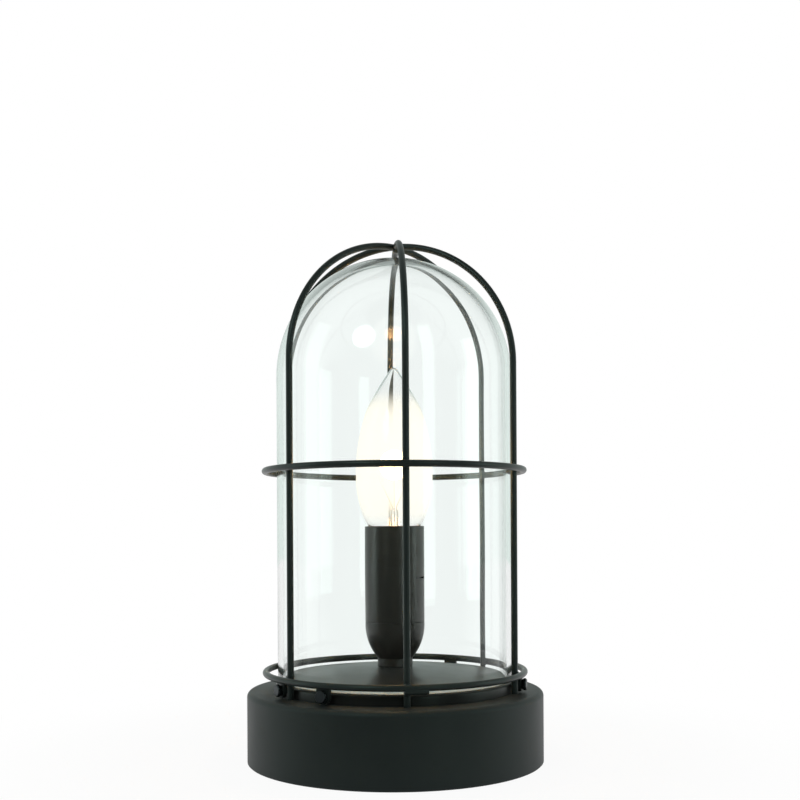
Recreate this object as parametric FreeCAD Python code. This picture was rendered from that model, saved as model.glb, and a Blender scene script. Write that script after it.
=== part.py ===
import FreeCAD, Part
import math
import os

from FreeCAD import Vector

# A caged glass table lamp. The origin is the centre of the base on the table,
# +Z is up, and the front is towards -Y. Azimuths are in degrees from the front
# towards +X. All sizes are in millimetres.

# Clearances
fit_gap = 0.05          # between a screw or tube and the hole that it fills
face_gap = 0.1          # between parts that rest on each other but come apart
slip_gap = 0.4          # between a loose cover and the wall around it

# Base drum, drawn from sheet steel
base_d = 140.0          # outside diameter
base_top_z = 33.5       # height of the flat top above the table
base_sheet = 1.2        # wall thickness
base_edge_r = 2.5       # outside radius between the top and the wall
base_rim_z = 0.2        # height of the lower rim above the table

# Raised gallery on the base that carries the glass
gallery_lip = 0.9       # its wall stands this much outside the glass
gallery_sheet = 1.0     # wall thickness
gallery_edge_r = 1.4    # outside radius of its shoulder
seat_rise = 4.8         # height of the glass seat above the base top
plate_rise = 2.0        # height of the inner plate's edge above the seat
plate_crown = 3.9       # height of the plate's middle above its edge
plate_edge = 0.6        # bevel of the plate's edge
foot_flat_d = 20.0      # flat in the middle, under the lampholder

# Glass dome
glass_d = 111.2         # outside diameter
glass_wall = 2.4        # wall thickness
glass_h = 198.6         # height from the rim to the top
glass_locate = 0.5      # radial play between the plate's edge and the glass

# Wire cage
wire_d = 3.0            # diameter of all the cage's wires
cage_gap = 1.3          # radial gap between the glass and the hoops
crown_gap = 5.0         # gap between the top of the glass and the hoops
# Azimuths of each hoop's two posts. The posts are not spaced evenly
front_posts = (4.9, 181.9)
right_posts = (69.4, 249.4)
left_posts = (127.3, 307.3)
crown_rise = 1.0        # the front hoop lies this much above the other two
mid_ring_z = 136.7      # height of the middle ring's wire
low_ring_z = 42.0       # height of the bottom ring's wire
weld_sink = 0.2         # how far a ring's weld sinks into each post
splice_from = 3.7       # azimuths of the bottom ring's lapped end
splice_to = 13.2
splice_drop = 1.5       # the lapped end lies this much under the ring

# Clamps that hold the cage on the gallery
# Azimuths of the clamps. Each stands clear of the posts
clamp_azimuths = {"front": -31.0, "left": -58.0, "right": 75.0, "rear": 150.0}
tab_w = 6.8             # width of a clamp tab
tab_t = 1.6             # thickness of a clamp tab
tab_shift = 1.5         # the tab's middle lies this much inside the ring's middle
clamp_screw_d = 3.0
clamp_head_d = 5.6
clamp_head_l = 1.8
clamp_collar_d = 4.4
clamp_collar_l = 0.4
clamp_flutes = 14       # flutes around a screw's head
clamp_flute_d = 0.9
clamp_axis_rise = 3.7   # height of the screws above the base top
clamp_press_gap = 0.15  # gap between a screw's tip and the gallery at rest

# Bottom plate with its pillars, screws and feet
plate_sheet = 1.5       # thickness of the bottom plate
foot_h = 3.0            # height of the rubber feet
foot_d = 10.0
foot_count = 4
foot_circle_d = 112.0
foot_edge = 0.8         # bevel of their lower edges
pillar_d = 8.0
pillar_count = 3
pillar_phase = 30.0
pillar_circle_d = 92.0
screw_d = 4.0
screw_head_d = 7.4
screw_head_h = 2.1
screw_l = 12.0          # length of a screw under its head
slot_w = 0.8            # width of the crossed slots in the heads

# Cast ballast ring on the bottom plate
ballast_gap = 1.4       # between the ballast and the cable bush
ballast_bore = 48.0
ballast_h = 14.0
ballast_edge = 1.5      # chamfer of the ballast's upper edges

# Cable bush in the rear wall
bush_z = 22.0           # height of its middle
bush_bore = 6.5
bush_body_d = 9.8
bush_flange_d = 14.0
bush_flange_t = 1.6
bush_l = 7.4

# Threaded tube that holds the lampholder, gallery and base together
tube_d = 10.0
tube_bore = 7.2
tube_below = 5.5        # length below the underside of the base top
tube_grip = 6.0         # length inside the lampholder's foot
nut_flats = 14.0
nut_h = 2.5
nut_round = 0.4         # share of a nut's overhanging corners that its bevel takes
nut_bevel = 0.5         # height of that bevel, as a share of the overhang
washer_d = 18.0
washer_t = 1.0

# Lampholder
holder_d = 28.3         # outside diameter at the top
holder_seam_d = 28.1    # outside diameter at the seam between cap and sleeve
holder_foot_d = 16.6
holder_foot_h = 4.0     # height of the foot's straight part
cap_h = 21.2            # height of the lower cap
cap_wall = 2.6
cap_floor = 6.4         # thickness of the cap's threaded floor
spigot_h = 1.6          # rim of the cap that fits inside the sleeve
sleeve_h = 45.2
sleeve_wall = 1.15
slot_z = 41.8           # height of the latch slot above the holder's foot
slot_h = 0.8
slot_from = 48.0        # azimuths of the slot
slot_to = 77.0
core_floor = 9.0
core_h = 25.0
shell_d = 16.8          # outside diameter of the holder's threaded shell
shell_wall = 0.8
shell_h = 24.0
leaf_t = 0.4            # sheet of the centre contact
leaf_w = 4.0
leaf_r = 3.55           # outside radius of its open loop
terminal_d = 3.0
terminal_head_d = 5.2
terminal_head_h = 2.0
terminal_l = 5.0
terminal_span = 12.0

# Candle bulb
bulb_d = 36.6           # largest diameter of the glass
bulb_swell_h = 24.4     # from the top of the lampholder up to the widest place
bulb_taper_h = 51.0     # from the widest place up to the tip
bulb_wall = 0.7
bulb_tip_r = 2.1        # radius of the small ball at the tip
bulb_tip_angle = 32.0   # angle above the horizontal where the ball begins
neck_d = 11.6           # the glass inside the metal cap
neck_l = 5.6
bulb_cap_d = 13.9
bulb_cap_h = 17.5
bulb_cap_lip = 1.0      # height of the cap's lower edge, rolled over the collar
bulb_cap_bead = 0.6     # height of the plain band and of the bevel above the thread
thread_pitch = 2.82
thread_depth = 0.5
thread_turns = 4
button_d = 4.4          # contact button under the bulb's cap
button_h = 1.4
button_sink = 0.8       # how far the button reaches up into the cap
collar_h = 3.3          # black glass between cap and button
collar_land = 0.6       # width of the collar's lower face
contact_gap = 0.15      # between the button and the holder's contact
stem_d = 9.0
stem_tip_d = 4.0
stem_h = 20.0
stem_flare_h = 11.0
stem_rim_h = 1.0        # height of the straight rim under the flare
lead_d = 0.5
lead_span = 14.0
lead_pitch = 2.0        # distance between the leads inside the stem
lead_start = 1.0        # straight length of the wires above the stem
lead_end = 4.0          # straight length of the leads under the filament
filament_up = 3.0       # height of the filament's ends above the widest place
filament_rise = 3.3     # height of its middle above its ends
filament_reach = 4.5    # how far the filament bows towards the front
filament_d = 0.9
support_d = 0.4

# Worked out from the sizes above
base_r = base_d / 2
base_under_z = base_top_z - base_sheet
bush_out_y = math.sqrt(base_r ** 2 - (bush_body_d / 2) ** 2)
bush_in_y = bush_out_y - bush_l
ballast_r = bush_in_y - ballast_gap
seat_z = base_top_z + seat_rise
plate_edge_z = seat_z + plate_rise
plate_top_z = plate_edge_z + plate_crown
glass_r = glass_d / 2
glass_in_r = glass_r - glass_wall
glass_rim_z = seat_z + face_gap
glass_spring_z = glass_rim_z + glass_h - glass_r
plate_r = glass_in_r - glass_locate
gallery_r = glass_r + gallery_lip
wire_r = wire_d / 2
post_r = glass_r + cage_gap + wire_r
hoop_spring_z = glass_rim_z + glass_h + crown_gap + wire_r - post_r
post_foot_z = base_top_z + face_gap
ring_r = post_r + wire_d - weld_sink
clamp_z = base_top_z + clamp_axis_rise
tab_in_r = ring_r - tab_shift - tab_t / 2
tab_out_r = tab_in_r + tab_t
foot_z = foot_h
plate_z = foot_h + plate_sheet
holder_z = plate_top_z
seam_z = holder_z + cap_h
holder_top_z = seam_z + sleeve_h
sleeve_in_r = holder_seam_d / 2 - sleeve_wall
spigot_r = sleeve_in_r - face_gap
core_z = seam_z + spigot_h
shell_z = core_z + core_floor
shell_r = shell_d / 2
button_z = shell_z + 2 * leaf_r + contact_gap
bulb_cap_z = button_z + button_h + collar_h - bulb_cap_lip
bulb_cap_top_z = bulb_cap_z + bulb_cap_h
neck_z = bulb_cap_top_z - neck_l
bulb_wide_z = holder_top_z + bulb_swell_h
bulb_tip_z = bulb_wide_z + bulb_taper_h
filament_z = bulb_wide_z + filament_up

up = Vector(0, 0, 1)


def polar(azimuth, radius, z=0.0):
    """A point at an azimuth from the front, a distance from the axis and a height."""
    a = math.radians(azimuth)
    return Vector(radius * math.sin(a), -radius * math.cos(a), z)


def face_of(start, *steps):
    """A face in the XZ plane. A step is a point, or two points for an arc."""
    at = Vector(start[0], 0, start[1])
    edges = []
    for step in steps:
        if isinstance(step[0], tuple):
            middle = Vector(step[0][0], 0, step[0][1])
            end = Vector(step[1][0], 0, step[1][1])
            edges.append(Part.Arc(at, middle, end).toShape())
        else:
            end = Vector(step[0], 0, step[1])
            edges.append(Part.makeLine(at, end))
        at = end
    first = Vector(start[0], 0, start[1])
    if at.distanceToPoint(first) > 1e-6:
        edges.append(Part.makeLine(at, first))
    return Part.Face(Part.Wire(edges))


def turned(start, *steps):
    """A solid of revolution about the Z axis."""
    return face_of(start, *steps).revolve(Vector(0, 0, 0), up, 360)


def corner(centre_x, centre_z, radius, degrees):
    """A point on a rounded corner, at an angle up from the outward direction."""
    a = math.radians(degrees)
    return (centre_x + radius * math.cos(a), centre_z + radius * math.sin(a))


def disc(radius, z, height, centre=None):
    """An upright cylinder that starts at a height."""
    at = Vector(0, 0, z) if centre is None else Vector(centre.x, centre.y, z)
    return Part.makeCylinder(radius, height, at, up)


def ring_of(outer_r, inner_r, z, height, centre=None):
    """A flat ring or a piece of tube."""
    return disc(outer_r, z, height, centre).cut(disc(inner_r, z, height, centre))


def around(count, phase, radius):
    """Points spaced evenly on a circle."""
    return [polar(phase + i * 360.0 / count, radius) for i in range(count)]


def pan_screw(shank_d, head_d, head_h, length):
    """A pan-head screw with a cross slot. Its head sits on Z = 0 and its shank points down."""
    edge = head_h * 0.4
    head = turned((0, 0), (head_d / 2, 0), (head_d / 2, head_h - edge), (head_d / 2 - edge, head_h),
                  (0, head_h))
    slot = Part.makeBox(head_d * 0.6, slot_w, head_h * 0.5)
    slot.translate(Vector(-head_d * 0.3, -slot_w / 2, head_h * 0.5))
    cross = slot.copy()
    cross.rotate(Vector(0, 0, 0), up, 90)
    shank = Part.makeCylinder(shank_d / 2, length, Vector(0, 0, -length), up)
    return head.fuse(shank).cut(slot).cut(cross).removeSplitter()


def hex_nut(flats, bore_d, height, z):
    """A hexagon nut with chamfered corners."""
    corner_r = flats / math.sqrt(3)
    points = [polar(60 * i, corner_r, z) for i in range(7)]
    body = Part.Face(Part.makePolygon(points)).extrude(Vector(0, 0, height))
    ease = corner_r - flats / 2
    face_r = flats / 2 + ease * nut_round
    low = z + ease * nut_bevel
    high = z + height - ease * nut_bevel
    body = body.common(turned((0, z), (face_r, z), (corner_r, low), (corner_r, high),
                              (face_r, z + height), (0, z + height)))
    return body.cut(disc(bore_d / 2 + fit_gap, z, height))


def bent_rod(points, diameter):
    """A thin wire through points, round at its bends."""
    body = None
    for a, b in zip(points, points[1:]):
        piece = Part.makeCylinder(diameter / 2, a.distanceToPoint(b), a, b - a)
        body = piece if body is None else body.fuse(piece)
    for p in points[1:-1]:
        body = body.fuse(Part.makeSphere(diameter / 2, p))
    return body


def pipe(edges, direction, radius):
    """A round wire along a path whose first edge leaves in the given direction."""
    path = Part.Wire(edges)
    section = Part.Wire(Part.makeCircle(radius, edges[0].Vertexes[0].Point, direction))
    return path.makePipeShell([section], True, False)


def base_shell():
    """Drawn drum: flat top, rounded edge and straight wall, open at the bottom."""
    bend_x = base_r - base_edge_r
    bend_z = base_top_z - base_edge_r
    hole_r = tube_d / 2 + fit_gap
    body = turned((hole_r, base_top_z), (bend_x, base_top_z),
                  (corner(bend_x, bend_z, base_edge_r, 45), (base_r, bend_z)),
                  (base_r, base_rim_z), (base_r - base_sheet, base_rim_z),
                  (base_r - base_sheet, bend_z), (bend_x, base_under_z),
                  (hole_r, base_under_z))
    for p in around(pillar_count, pillar_phase, pillar_circle_d / 2):
        body = body.cut(disc(screw_d / 2 + fit_gap, base_under_z, base_sheet, p))
    way = Part.makeCylinder(bush_body_d / 2 + fit_gap, 2 * bush_flange_d,
                            Vector(0, base_r - bush_flange_d, bush_z), Vector(0, 1, 0))
    return body.cut(way)


def gallery():
    """Spun cup on the base: a short wall, a flat seat for the glass, and a low domed plate."""
    t = gallery_sheet
    bend_x = gallery_r - gallery_edge_r
    bend_z = seat_z - gallery_edge_r
    flat_r = foot_flat_d / 2
    hole_r = tube_d / 2 + fit_gap
    rim_x = plate_r - plate_edge
    mid_x = (flat_r + rim_x) / 2
    mid_z = plate_edge_z + 0.62 * plate_crown
    return turned((gallery_r, base_top_z), (gallery_r, bend_z),
                  (corner(bend_x, bend_z, gallery_edge_r, 45), (bend_x, seat_z)),
                  (plate_r, seat_z), (plate_r, plate_edge_z - plate_edge), (rim_x, plate_edge_z),
                  ((mid_x, mid_z), (flat_r, plate_top_z)),
                  (hole_r, plate_top_z), (hole_r, plate_top_z - t), (flat_r, plate_top_z - t),
                  (rim_x - t, plate_edge_z - t), (plate_r - t, plate_edge_z - t - plate_edge),
                  (plate_r - t, seat_z - t), (bend_x, seat_z - t), (gallery_r - t, bend_z),
                  (gallery_r - t, base_top_z))


def bottom_plate():
    """Flat cover inside the drum's lower rim, with holes for its three screws."""
    body = disc(base_r - base_sheet - slip_gap, foot_z, plate_sheet)
    for p in around(pillar_count, pillar_phase, pillar_circle_d / 2):
        body = body.cut(disc(screw_d / 2 + fit_gap, foot_z, plate_sheet, p))
    return body


def feet():
    """Round rubber feet under the bottom plate."""
    r = foot_d / 2
    foot = turned((0, 0), (r - foot_edge, 0), (r, foot_edge), (r, foot_h), (0, foot_h))
    group = []
    for p in around(foot_count, 45, foot_circle_d / 2):
        copy = foot.copy()
        copy.translate(p)
        group.append(copy)
    return Part.makeCompound(group)


def plate_pillars():
    """Threaded pillars between the bottom plate and the top of the drum."""
    height = base_under_z - plate_z
    group = []
    for p in around(pillar_count, pillar_phase, pillar_circle_d / 2):
        group.append(ring_of(pillar_d / 2, screw_d / 2 + fit_gap, plate_z, height, p))
    return Part.makeCompound(group)


def plate_screws():
    """Screws that hold the bottom plate on the pillars from below."""
    group = []
    for p in around(pillar_count, pillar_phase, pillar_circle_d / 2):
        screw = pan_screw(screw_d, screw_head_d, screw_head_h, screw_l)
        screw.rotate(Vector(0, 0, 0), Vector(1, 0, 0), 180)
        screw.translate(Vector(p.x, p.y, foot_z))
        group.append(screw)
    return Part.makeCompound(group)


def pillar_screws():
    """Screws that hold the pillars from above, under the gallery."""
    group = []
    for p in around(pillar_count, pillar_phase, pillar_circle_d / 2):
        screw = pan_screw(screw_d, screw_head_d, screw_head_h, screw_l)
        screw.translate(Vector(p.x, p.y, base_top_z))
        group.append(screw)
    return Part.makeCompound(group)


def ballast_ring():
    """Cast ring that keeps the lamp upright, bored for the pillars."""
    outer = ballast_r
    inner = ballast_bore / 2
    top = plate_z + ballast_h
    body = turned((inner, plate_z), (outer, plate_z), (outer, top - ballast_edge),
                  (outer - ballast_edge, top), (inner + ballast_edge, top),
                  (inner, top - ballast_edge))
    for p in around(pillar_count, pillar_phase, pillar_circle_d / 2):
        body = body.cut(disc(pillar_d / 2 + slip_gap, plate_z, ballast_h, p))
    return body


def cable_bush():
    """Nylon bush in the rear wall, flanged inside and flush with the wall outside."""
    wall_in_r = base_r - base_sheet
    flange_r = bush_flange_d / 2
    body_r = bush_body_d / 2
    flange_y = math.sqrt(wall_in_r ** 2 - flange_r ** 2) - fit_gap
    bore = bush_bore / 2
    body = turned((bore, bush_in_y), (body_r, bush_in_y), (body_r, flange_y - bush_flange_t),
                  (flange_r, flange_y - bush_flange_t), (flange_r, flange_y), (body_r, flange_y),
                  (body_r, bush_out_y), (bore, bush_out_y))
    body.rotate(Vector(0, 0, 0), Vector(1, 0, 0), -90)
    body.translate(Vector(0, 0, bush_z))
    return body


def nipple():
    """Threaded tube from under the base top up into the lampholder's foot."""
    low = base_under_z - tube_below
    return ring_of(tube_d / 2, tube_bore / 2, low, holder_z + tube_grip - low)


def nipple_washer():
    """Flat washer under the base top."""
    return ring_of(washer_d / 2, tube_d / 2 + fit_gap, base_under_z - washer_t, washer_t)


def nipple_nut():
    """Nut that draws the lampholder, the gallery and the base together."""
    return hex_nut(nut_flats, tube_d, nut_h, base_under_z - washer_t - nut_h)


def holder_cap():
    """Lower cap of the lampholder: a straight foot that swells in one curve to the seam."""
    foot_r = holder_foot_d / 2
    seam_r = holder_seam_d / 2
    neck_top = holder_z + holder_foot_h
    swell = seam_z - neck_top
    grow = seam_r - foot_r
    room_r = seam_r - cap_wall
    floor_z = holder_z + cap_floor
    tube_r = tube_d / 2 + fit_gap
    return turned((tube_r, holder_z), (foot_r, holder_z), (foot_r, neck_top),
                  ((foot_r + 0.66 * grow, neck_top + 0.36 * swell), (seam_r, seam_z)),
                  (spigot_r, seam_z), (spigot_r, core_z), (room_r, core_z),
                  (room_r, floor_z + 0.6 * swell), (foot_r - cap_wall / 2, floor_z),
                  (tube_r, floor_z))


def holder_sleeve():
    """Upper sleeve of the lampholder, with the thin slot of its latch."""
    seam_r = holder_seam_d / 2
    top_r = holder_d / 2
    edge = sleeve_wall / 3
    body = turned((sleeve_in_r, seam_z), (seam_r, seam_z), (top_r, holder_top_z - edge),
                  (top_r - edge, holder_top_z), (sleeve_in_r, holder_top_z))
    low = holder_z + slot_z
    near = sleeve_in_r - sleeve_wall
    far = top_r + sleeve_wall
    cut = face_of((near, low), (far, low), (far, low + slot_h), (near, low + slot_h))
    cut = cut.revolve(Vector(0, 0, 0), up, slot_to - slot_from)
    cut.rotate(Vector(0, 0, 0), up, slot_from - 90)
    return body.cut(cut)


def holder_core():
    """Moulded insulating cup that carries the contacts, seated on the cap's rim."""
    r = spigot_r
    top = core_z + core_h
    body = turned((0, core_z), (r, core_z), (r, top), (shell_r + face_gap, top),
                  (shell_r + face_gap, shell_z), (0, shell_z))
    for side in (-1, 1):
        at = Vector(side * terminal_span / 2, 0, 0)
        body = body.cut(disc(terminal_d / 2 + fit_gap, core_z, terminal_l + fit_gap, at))
    return body


def screw_shell():
    """Threaded brass shell that takes the bulb's cap."""
    return ring_of(shell_r, shell_r - shell_wall, shell_z, shell_h)


def centre_contact():
    """Sprung leaf under the bulb's button, bent to an open loop."""
    middle = Vector(0, -leaf_w / 2, shell_z + leaf_r)
    across = Vector(0, 1, 0)
    loop = Part.makeCylinder(leaf_r, leaf_w, middle, across)
    loop = loop.cut(Part.makeCylinder(leaf_r - leaf_t, leaf_w, middle, across))
    mouth = Part.makeBox(2 * leaf_r, leaf_w, leaf_r)
    mouth.translate(middle + Vector(0, 0, -leaf_r / 2))
    return loop.cut(mouth)


def terminal_screws():
    """Two brass terminal screws under the core."""
    group = []
    for side in (-1, 1):
        screw = pan_screw(terminal_d, terminal_head_d, terminal_head_h, terminal_l)
        screw.rotate(Vector(0, 0, 0), Vector(1, 0, 0), 180)
        screw.translate(Vector(side * terminal_span / 2, 0, core_z))
        group.append(screw)
    return Part.makeCompound(group)


def glass_dome():
    """Blown dome: a straight cylinder closed by half a ball, its rim ground and eased."""
    ease = glass_wall / 3
    bend = glass_rim_z + ease
    spring = glass_spring_z
    return turned((glass_in_r + ease, glass_rim_z), (glass_r - ease, glass_rim_z), (glass_r, bend),
                  (glass_r, spring),
                  (corner(0, spring, glass_r, 45), (0, spring + glass_r)),
                  (0, spring + glass_in_r),
                  (corner(0, spring, glass_in_r, 45), (glass_in_r, spring)), (glass_in_r, bend))


def hoop_wire(azimuths, lift):
    """One full hoop: two posts joined by half a circle over the top."""
    spring = hoop_spring_z + lift
    foot_a = polar(azimuths[0], post_r, post_foot_z)
    foot_b = polar(azimuths[1], post_r, post_foot_z)
    top_a = polar(azimuths[0], post_r, spring)
    top_b = polar(azimuths[1], post_r, spring)
    rise = top_a.distanceToPoint(top_b) / 2
    crown = (top_a + top_b) * 0.5 + up * rise
    edges = [Part.makeLine(foot_a, top_a), Part.Arc(top_a, crown, top_b).toShape(),
             Part.makeLine(top_b, foot_b)]
    return pipe(edges, up, wire_r)


def hoops():
    """The front hoop lies in a notch in the crown of the second. The third is two halves that
    are butted against both."""
    core = disc(wire_r, hoop_spring_z + post_r - wire_d, 2 * wire_d)
    front = hoop_wire(front_posts, crown_rise)
    right = hoop_wire(right_posts, 0).cut(front)
    left = hoop_wire(left_posts, 0).cut(front).cut(right).cut(core)
    return [front, right, left]


def ring_wire(z, posts):
    """A ring around the posts, saddled where it is welded to each of them."""
    body = Part.makeTorus(ring_r, wire_r, Vector(0, 0, z), up)
    for post in posts:
        body = body.cut(post)
    return body


def bottom_ring(posts):
    """The lowest ring. Its end laps under its beginning beside the front post."""
    ring = Part.makeTorus(ring_r, wire_r, Vector(0, 0, low_ring_z), up)
    z = low_ring_z - splice_drop
    start = polar(splice_from, ring_r, z)
    middle = polar((splice_from + splice_to) / 2, ring_r, z)
    end = polar(splice_to, ring_r, z)
    along = polar(splice_from + 90, 1)
    ring = ring.fuse(pipe([Part.Arc(start, middle, end).toShape()], along, wire_r))
    for post in posts:
        ring = ring.cut(post)
    return ring


def clamp_tabs(ring):
    """Round-ended tabs welded to the inside of the bottom ring, tapped for the clamp screws."""
    out = Vector(0, -1, 0)
    group = []
    for azimuth in clamp_azimuths.values():
        eye = Part.makeCylinder(tab_w / 2, tab_t, Vector(0, -tab_in_r, clamp_z), out)
        stalk = Part.makeBox(tab_w, tab_t, low_ring_z - clamp_z)
        stalk.translate(Vector(-tab_w / 2, -tab_out_r, clamp_z))
        hole = Part.makeCylinder(clamp_screw_d / 2 + fit_gap, 3 * tab_t,
                                 Vector(0, tab_t - tab_in_r, clamp_z), out)
        tab = eye.fuse(stalk).removeSplitter().cut(hole)
        tab.rotate(Vector(0, 0, 0), up, azimuth)
        group.append(tab.cut(ring))
    return Part.makeCompound(group)


def clamp_screw(azimuth):
    """Thumbscrew with a fluted head. It passes through its tab to the gallery's wall."""
    out = Vector(0, -1, 0)
    tip_r = gallery_r + clamp_press_gap
    collar_r = tab_out_r + face_gap
    head_r = collar_r + clamp_collar_l
    shank = Part.makeCylinder(clamp_screw_d / 2, head_r - tip_r, Vector(0, -tip_r, clamp_z), out)
    collar = Part.makeCylinder(clamp_collar_d / 2, clamp_collar_l, Vector(0, -collar_r, clamp_z), out)
    r = clamp_head_d / 2
    ease = clamp_flute_d / 2
    head = turned((0, 0), (r - ease, 0), (r, ease), (r, clamp_head_l - ease),
                  (r - ease, clamp_head_l), (0, clamp_head_l))
    for p in around(clamp_flutes, 0, r + 0.25 * clamp_flute_d):
        head = head.cut(disc(clamp_flute_d / 2, 0, clamp_head_l, p))
    head.rotate(Vector(0, 0, 0), Vector(1, 0, 0), 90)
    head.translate(Vector(0, -head_r, clamp_z))
    body = shank.fuse(collar).fuse(head).removeSplitter()
    body.rotate(Vector(0, 0, 0), up, azimuth)
    return body


def bulb_profile(inset):
    """The bulb's outline from its neck to its tip, moved inwards by an inset: two arcs that
    swell from the neck to the widest place, and two that taper to the ball of the tip."""
    r = bulb_d / 2 - inset
    neck = neck_d / 2 - inset
    ball_r = bulb_tip_r - inset
    ball_z = bulb_tip_z - bulb_tip_r
    tip_r, tip_z = corner(0, ball_z, ball_r, bulb_tip_angle)
    rise = bulb_wide_z - bulb_cap_top_z
    fall = tip_z - bulb_wide_z
    swell_r = neck + 0.80 * (r - neck)
    swell_z = bulb_cap_top_z + 0.45 * rise
    taper_r = 0.70 * r
    taper_z = bulb_wide_z + 0.63 * fall
    return [((neck + 0.43 * (r - neck), bulb_cap_top_z + 0.15 * rise), (swell_r, swell_z)),
            ((r - 0.25 * (r - swell_r), bulb_cap_top_z + 0.71 * rise), (r, bulb_wide_z)),
            ((r - 0.24 * (r - taper_r), bulb_wide_z + 0.31 * fall), (taper_r, taper_z)),
            ((tip_r + 0.55 * (taper_r - tip_r), taper_z + 0.18 * fall), (tip_r, tip_z)),
            (corner(0, ball_z, ball_r, (bulb_tip_angle + 90) / 2), (0, ball_z + ball_r))]


def walked_back(start, arcs):
    """The same arcs from their last point back to the start."""
    ends = [start] + [end for middle, end in arcs[:-1]]
    return [(middle, end) for (middle, last), end in zip(reversed(arcs), reversed(ends))]


def bulb_envelope():
    """Clear candle-shaped glass, blown thin, with a small round tip."""
    neck = neck_d / 2
    neck_in = neck - bulb_wall
    inner = bulb_profile(bulb_wall)
    return turned((neck_in, neck_z), (neck, neck_z), (neck, bulb_cap_top_z), *bulb_profile(0),
                  inner[-1][1], *walked_back((neck_in, bulb_cap_top_z), inner))


def bulb_cap():
    """Nickelled brass cap with the ridges of its rolled thread."""
    r = bulb_cap_d / 2
    inner = neck_d / 2 + face_gap
    root = r - thread_depth
    z = bulb_cap_z + bulb_cap_lip
    steps = [(root, bulb_cap_z), (root, z)]
    for i in range(thread_turns):
        steps += [(r, z + thread_pitch / 2), (root, z + thread_pitch)]
        z += thread_pitch
    steps += [(root, z + bulb_cap_bead), (r, z + 2 * bulb_cap_bead), (r, bulb_cap_top_z),
              (inner, bulb_cap_top_z)]
    return turned((inner, bulb_cap_z), *steps)


def bulb_insulator():
    """Black glass cone between the cap and the contact button."""
    r = neck_d / 2
    hole = button_d / 2 + face_gap
    low = button_z + button_h
    top = bulb_cap_z + bulb_cap_lip
    return turned((hole, low), (hole + collar_land, low), (r, bulb_cap_z), (r, top), (hole, top))


def bulb_button():
    """Soldered contact button under the bulb's cap."""
    r = button_d / 2
    top = bulb_cap_z + button_sink
    return turned((0, button_z), (0.6 * r, button_z), (r, button_z + button_h), (r, top), (0, top))


def lead_paths():
    """The two lead wires, from inside the stem to the filament's ends."""
    near = lead_pitch / 2
    far = lead_span / 2
    stem_top = neck_z + stem_h
    end_z = filament_z - filament_d / 2 - face_gap
    paths = []
    for side in (-1, 1):
        paths.append([Vector(side * near, 0, neck_z + 0.5 * stem_h),
                      Vector(side * near, 0, stem_top + lead_start),
                      Vector(side * far, 0, end_z - lead_end),
                      Vector(side * far, 0, end_z)])
    return paths


def lead_wires():
    return Part.makeCompound([bent_rod(path, lead_d) for path in lead_paths()])


def support_path():
    """The wire that holds the filament's middle up from the stem."""
    stem_top = neck_z + stem_h
    return [Vector(0, -lead_pitch / 2, neck_z + 0.7 * stem_h),
            Vector(0, -lead_pitch / 2, stem_top + lead_start),
            Vector(0, -filament_reach, filament_z + filament_rise - filament_d / 2 - face_gap)]


def filament_support():
    return bent_rod(support_path(), support_d)


def bulb_stem():
    """Flared glass stem, pinched around the wires."""
    r = stem_d / 2
    tip = stem_tip_d / 2
    waist = neck_z + stem_flare_h
    top = neck_z + stem_h
    body = turned((0, neck_z), (r, neck_z), (r, neck_z + stem_rim_h),
                  (tip + 0.25 * (r - tip), neck_z + 0.45 * stem_flare_h), (tip, waist),
                  (tip, top - tip / 2), (tip / 2, top), (0, top))
    for path in lead_paths():
        body = body.cut(bent_rod(path, lead_d))
    return body.cut(filament_support())


def filament():
    """Coiled tungsten filament in one bow between the leads."""
    half = lead_span / 2
    start = Vector(-half, 0, filament_z)
    middle = Vector(0, -filament_reach, filament_z + filament_rise)
    end = Vector(half, 0, filament_z)
    bow = Part.Arc(start, middle, end)
    edge = bow.toShape()
    return pipe([edge], edge.tangentAt(edge.FirstParameter), filament_d / 2)


def build():
    """Every node of the lamp by name."""
    hoop_front, hoop_right, hoop_left = hoops()
    all_hoops = [hoop_front, hoop_right, hoop_left]
    low_ring = bottom_ring(all_hoops)
    nodes = {
        "base_shell": base_shell(),
        "gallery": gallery(),
        "bottom_plate": bottom_plate(),
        "feet": feet(),
        "plate_pillars": plate_pillars(),
        "plate_screws": plate_screws(),
        "pillar_screws": pillar_screws(),
        "ballast_ring": ballast_ring(),
        "cable_bush": cable_bush(),
        "nipple": nipple(),
        "nipple_washer": nipple_washer(),
        "nipple_nut": nipple_nut(),
        "holder_cap": holder_cap(),
        "holder_sleeve": holder_sleeve(),
        "holder_core": holder_core(),
        "screw_shell": screw_shell(),
        "centre_contact": centre_contact(),
        "terminal_screws": terminal_screws(),
        "glass_dome": glass_dome(),
        "hoop_front": hoop_front,
        "hoop_right": hoop_right,
        "hoop_left": hoop_left,
        "mid_ring": ring_wire(mid_ring_z, all_hoops),
        "bottom_ring": low_ring,
        "clamp_tabs": clamp_tabs(low_ring),
        "bulb_envelope": bulb_envelope(),
        "bulb_cap": bulb_cap(),
        "bulb_insulator": bulb_insulator(),
        "bulb_button": bulb_button(),
        "bulb_stem": bulb_stem(),
        "lead_wires": lead_wires(),
        "filament_support": filament_support(),
        "filament": filament(),
    }
    for name, azimuth in clamp_azimuths.items():
        nodes["clamp_screw_" + name] = clamp_screw(azimuth)
    return nodes


os.makedirs("parts", exist_ok=True)
for node, shape in build().items():
    shape.exportStep("parts/" + node + ".step")
    print(node, shape.ShapeType, len(shape.Solids), shape.isValid(), round(shape.Volume, 1))
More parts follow.
